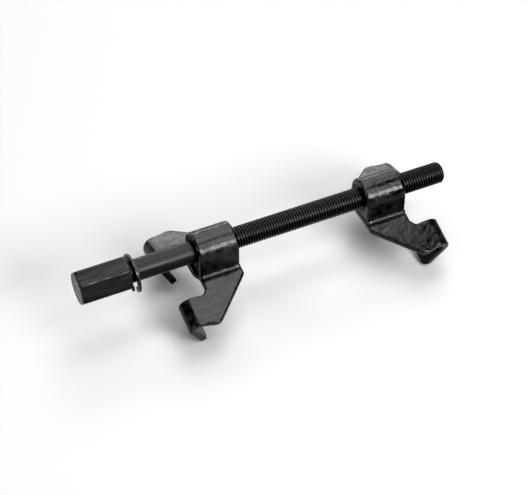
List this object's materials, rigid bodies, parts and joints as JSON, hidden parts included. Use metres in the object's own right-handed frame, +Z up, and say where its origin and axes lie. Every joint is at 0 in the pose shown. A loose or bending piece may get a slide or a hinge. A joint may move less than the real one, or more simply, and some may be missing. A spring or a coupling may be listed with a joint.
{
  "type": "coil spring compressor",
  "caption": "Long screw with a hexagon head and two arched jaws whose winged plates end in J hooks; turning the screw draws the jaws together to squeeze a coil spring.",
  "frame": {"origin": "middle of the tool's length, under the screw's axis, on the surface the four hook lips stand on", "axes": "+X along the screw from the hexagon to the thread's end, +Y to the left hooks, +Z up"},
  "size_m": [0.284, 0.097, 0.0671],
  "materials": {
    "jaw_lacquer": "semi-gloss black lacquer over steel plate",
    "screw": "oiled black oxide, fine thread",
    "hexagon": "satin black oxide",
    "washer": "dark spring steel, lighter edges",
    "bush": "dull black steel",
    "weld": "lacquered weld bead"
  },
  "bodies": {
    "near_jaw": {"near_saddle": "jaw_lacquer", "near_bush": "bush", "near_hook_plate": "jaw_lacquer", "near_weld_left": "weld", "near_weld_right": "weld"},
    "washer": {"spring_washer": "washer"},
    "screw": {"screw_rod": "screw", "drive_hex": "hexagon"},
    "far_nut": {"far_threaded_bush": "bush"},
    "far_jaw": {"far_saddle": "jaw_lacquer", "far_hook_plate": "jaw_lacquer", "far_weld_left": "weld", "far_weld_right": "weld"}
  },
  "joints": [
    {"name": "screw_float", "type": "slide", "parent": "near_jaw", "child": "washer", "axis": [1, 0, 0], "range_m": [-0.018, 0.04]},
    {"name": "screw_turn", "type": "hinge", "parent": "washer", "child": "screw", "pos_m": [-0.102, 0, 0.05309], "axis": [1, 0, 0], "range_deg": [-6120, 13500]},
    {"name": "far_jaw_travel", "type": "slide", "parent": "washer", "child": "far_nut", "axis": [1, 0, 0], "range_m": [-0.075, 0.034]},
    {"name": "far_jaw_swivel", "type": "hinge", "parent": "far_nut", "child": "far_jaw", "pos_m": [0.0906, 0, 0.05309], "axis": [1, 0, 0], "continuous": true}
  ],
  "couplings": [
    {"joint": "far_jaw_travel", "follows": "screw_turn", "m_per_rad": -0.00031831}
  ]
}
